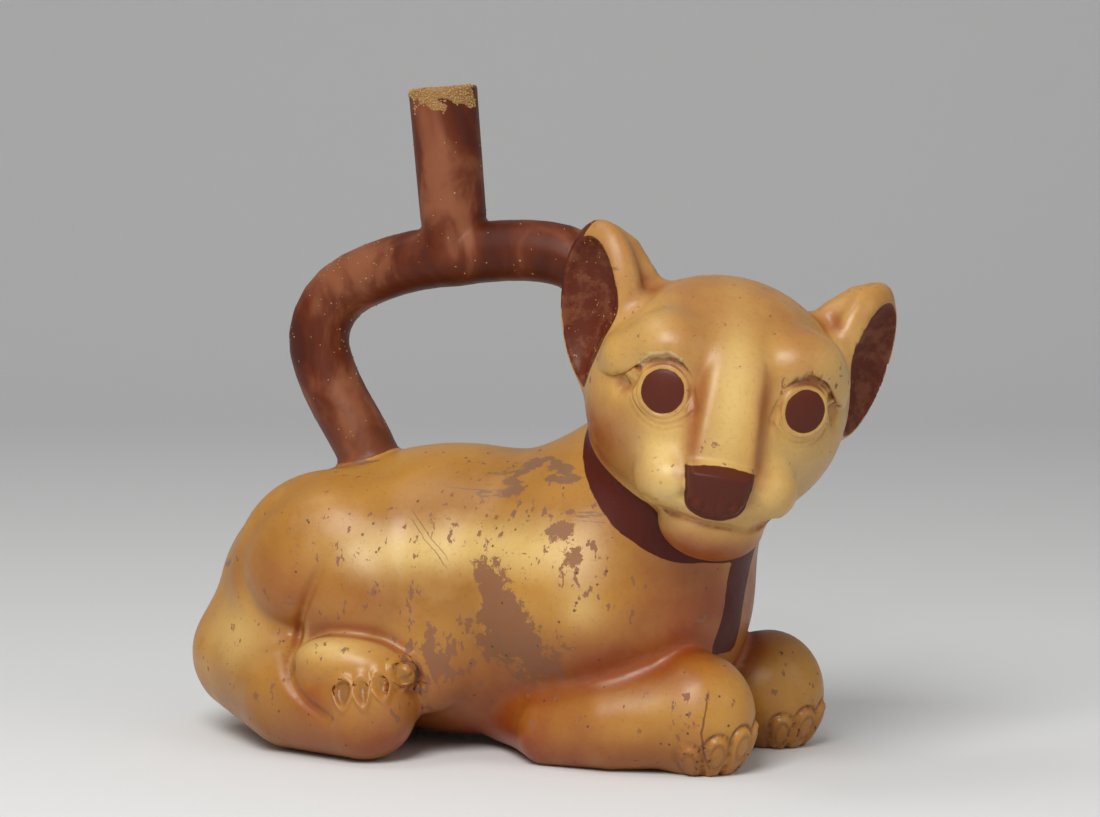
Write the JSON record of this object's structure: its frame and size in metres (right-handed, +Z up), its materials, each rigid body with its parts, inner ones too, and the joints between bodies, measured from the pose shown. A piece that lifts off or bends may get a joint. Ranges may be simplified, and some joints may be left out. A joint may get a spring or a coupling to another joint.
{
  "type": "stirrup spout vessel",
  "caption": "Hollow burnished clay vessel shaped as a resting dog that looks to one side, with a stirrup handle and an upright spout.",
  "frame": {"origin": "on the flat underside of the vessel, in the plane of the stirrup", "axes": "+X to the animal's front, +Y to the animal's left, +Z up; the vessel stands on z = 0"},
  "size_m": [0.243, 0.141, 0.2248],
  "materials": {
    "burnished_slip": "burnished cream and ochre slip over fired clay, with dark red-brown slip on the stirrup and spout"
  },
  "bodies": {
    "root": {"vessel": "burnished_slip"}
  },
  "joints": []
}
